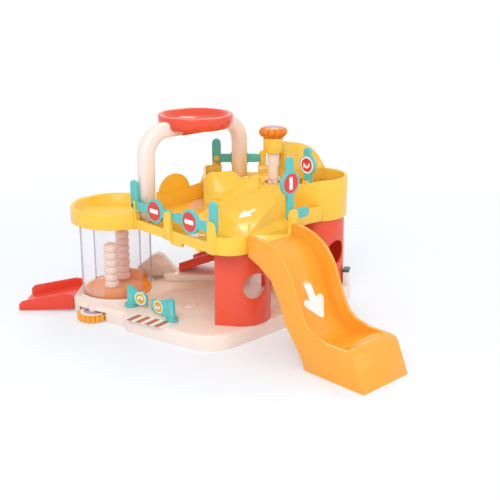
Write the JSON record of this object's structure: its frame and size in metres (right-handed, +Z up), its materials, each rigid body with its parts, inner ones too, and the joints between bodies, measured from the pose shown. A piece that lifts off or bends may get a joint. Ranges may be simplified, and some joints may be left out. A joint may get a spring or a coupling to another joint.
{
  "type": "toy parking garage",
  "caption": "Toy parking garage with parking levels, a screw lift in a round tower, a slide, a carry handle with a landing pad, swinging barriers, toll gates and a car wash with geared rollers.",
  "frame": {"origin": "On the ground, at the foot of the round boss under the middle of the base", "axes": "+Z up; +X along the slide, away from the deck; -Y towards the toll gates, the front"},
  "size_m": [0.5924, 0.4343, 0.288],
  "materials": {
    "cream": "satin moulded plastic",
    "yellow": "satin moulded plastic",
    "amber": "satin moulded plastic",
    "red": "satin moulded plastic",
    "deep_red": "satin moulded plastic",
    "teal": "satin moulded plastic",
    "orange": "satin moulded plastic",
    "grey": "satin moulded plastic",
    "green": "satin moulded plastic",
    "pale": "satin moulded plastic",
    "clear": "transparent"
  },
  "bodies": {
    "building": {"base_plate": "cream", "rear_road": "cream", "back_ramp": "deep_red", "entry_ramp": "deep_red", "wash_floor": "amber", "gear_cover": "grey", "cover_screw_1": "grey", "cover_screw_2": "grey", "cover_screw_3": "grey", "cover_screw_4": "grey", "clear_panel_front": "clear", "clear_panel_back": "clear", "wash_bowl": "yellow", "front_pillar": "red", "rear_pillar": "red", "tower_wall": "red", "tower_top": "yellow", "upper_deck": "yellow", "slide": "amber", "handle_left": "cream", "handle_right": "cream", "helipad": "deep_red", "fuel_pump": "pale", "pump_cap": "green", "barrier_pin_front_left": "grey", "barrier_pin_front_right": "grey", "barrier_pin_slide": "grey", "barrier_pin_back": "grey", "barrier_pin_tower": "grey"},
    "thumb_wheel": {"thumb_wheel": "orange"},
    "idler_gear": {"idler_gear": "grey"},
    "front_wash_roller": {"roller_gear_front": "grey", "wash_roller_front": "cream"},
    "back_wash_roller": {"roller_gear_back": "grey", "wash_roller_back": "cream"},
    "lift_knob": {"lift_knob": "orange", "lift_screw": "cream"},
    "lift_platform": {"lift_platform": "orange"},
    "toll_gate_left": {"toll_gate_left": "teal", "gate_clip_left": "grey"},
    "toll_gate_right": {"toll_gate_right": "teal", "gate_clip_right": "grey"},
    "barrier_front_left": {"barrier_front_left": "teal"},
    "barrier_front_right": {"barrier_front_right": "teal"},
    "barrier_slide": {"barrier_slide": "teal"},
    "barrier_back": {"barrier_back": "teal"},
    "barrier_tower": {"barrier_tower": "teal"}
  },
  "joints": [
    {"name": "thumb_wheel_turn", "type": "hinge", "parent": "building", "child": "thumb_wheel", "pos_m": [-0.08388, -0.15683, 0.005], "axis": [0, 0, 1], "continuous": true},
    {"name": "idler_turn", "type": "hinge", "parent": "building", "child": "idler_gear", "pos_m": [-0.116, -0.087, 0.005], "axis": [0, 0, 1], "continuous": true},
    {"name": "front_roller_turn", "type": "hinge", "parent": "building", "child": "front_wash_roller", "pos_m": [-0.09286, -0.11458, 0.005], "axis": [0, 0, 1], "continuous": true},
    {"name": "back_roller_turn", "type": "hinge", "parent": "building", "child": "back_wash_roller", "pos_m": [-0.13914, -0.05942, 0.005], "axis": [0, 0, 1], "continuous": true},
    {"name": "barrier_front_left_swing", "type": "hinge", "parent": "building", "child": "barrier_front_left", "pos_m": [-0.056, -0.0941, 0.167], "axis": [0, -1, 0], "range_deg": [0, 88]},
    {"name": "barrier_front_right_swing", "type": "hinge", "parent": "building", "child": "barrier_front_right", "pos_m": [0.114, -0.0941, 0.167], "axis": [0, 1, 0], "range_deg": [0, 88]},
    {"name": "barrier_slide_swing", "type": "hinge", "parent": "building", "child": "barrier_slide", "pos_m": [0.1406, 0.024, 0.167], "axis": [-1, 0, 0], "range_deg": [-88, 2]},
    {"name": "barrier_back_swing", "type": "hinge", "parent": "building", "child": "barrier_back", "pos_m": [-0.086, 0.09201, 0.204], "axis": [0.7254, -0.6884, 0], "range_deg": [0, 88]},
    {"name": "barrier_tower_swing", "type": "hinge", "parent": "building", "child": "barrier_tower", "pos_m": [0.087, 0.1185, 0.188], "axis": [0, 1, 0], "range_deg": [-70, 4]},
    {"name": "toll_gate_left_swing", "type": "hinge", "parent": "building", "child": "toll_gate_left", "pos_m": [-0.042, -0.119, 0.022], "axis": [0, 0, 1], "range_deg": [-70, 70]},
    {"name": "toll_gate_right_swing", "type": "hinge", "parent": "building", "child": "toll_gate_right", "pos_m": [0.045, -0.113, 0.022], "axis": [0, 0, 1], "range_deg": [-70, 70]},
    {"name": "lift_knob_turn", "type": "hinge", "parent": "building", "child": "lift_knob", "pos_m": [0.017, 0.115, 0.25], "axis": [0, 0, 1], "range_deg": [0, 1104.7]},
    {"name": "lift_platform_rise", "type": "slide", "parent": "building", "child": "lift_platform", "axis": [0, 0, 1], "range_m": [0, 0.1534]}
  ],
  "couplings": [
    {"joint": "idler_turn", "follows": "thumb_wheel_turn", "ratio": 1.5},
    {"joint": "front_roller_turn", "follows": "thumb_wheel_turn", "ratio": -1},
    {"joint": "back_roller_turn", "follows": "thumb_wheel_turn", "ratio": -1},
    {"joint": "lift_knob_turn", "follows": "lift_platform_rise", "rad_per_m": 125.66}
  ]
}
